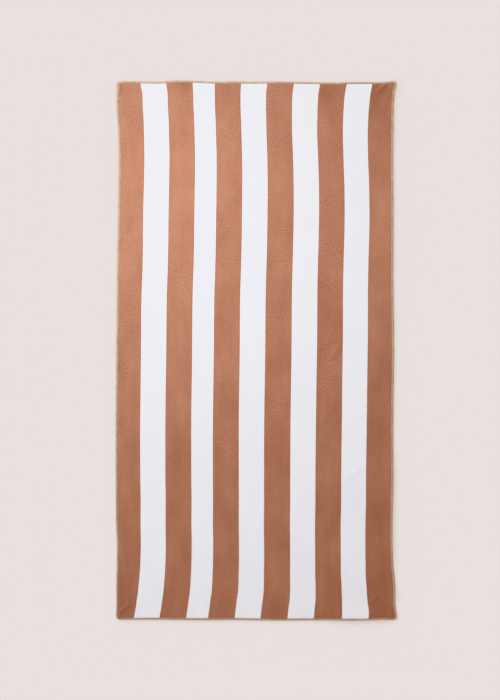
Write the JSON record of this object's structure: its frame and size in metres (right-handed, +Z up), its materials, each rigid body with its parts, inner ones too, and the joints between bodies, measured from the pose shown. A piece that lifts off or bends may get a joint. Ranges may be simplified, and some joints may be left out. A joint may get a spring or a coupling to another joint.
{
  "type": "beach towel",
  "caption": "Rectangular striped beach towel in thick velour, lying flat, its four edges overlocked in a lighter yarn, with soft creases at the corners.",
  "frame": {"origin": "middle of the underside, on the surface that the towel lies on", "axes": "+X across the towel, +Y along its length towards the picture's top, +Z up"},
  "size_m": [0.8, 1.535, 0.0074],
  "materials": {
    "cloth": "matt cotton velour with a short pile, in brown and white stripes along its length",
    "edging": "close overlock stitches in a light golden tan yarn"
  },
  "bodies": {
    "root": {"towel_cloth": "cloth", "edging_bottom": "edging", "edging_right": "edging", "edging_top": "edging", "edging_left": "edging"}
  },
  "joints": []
}
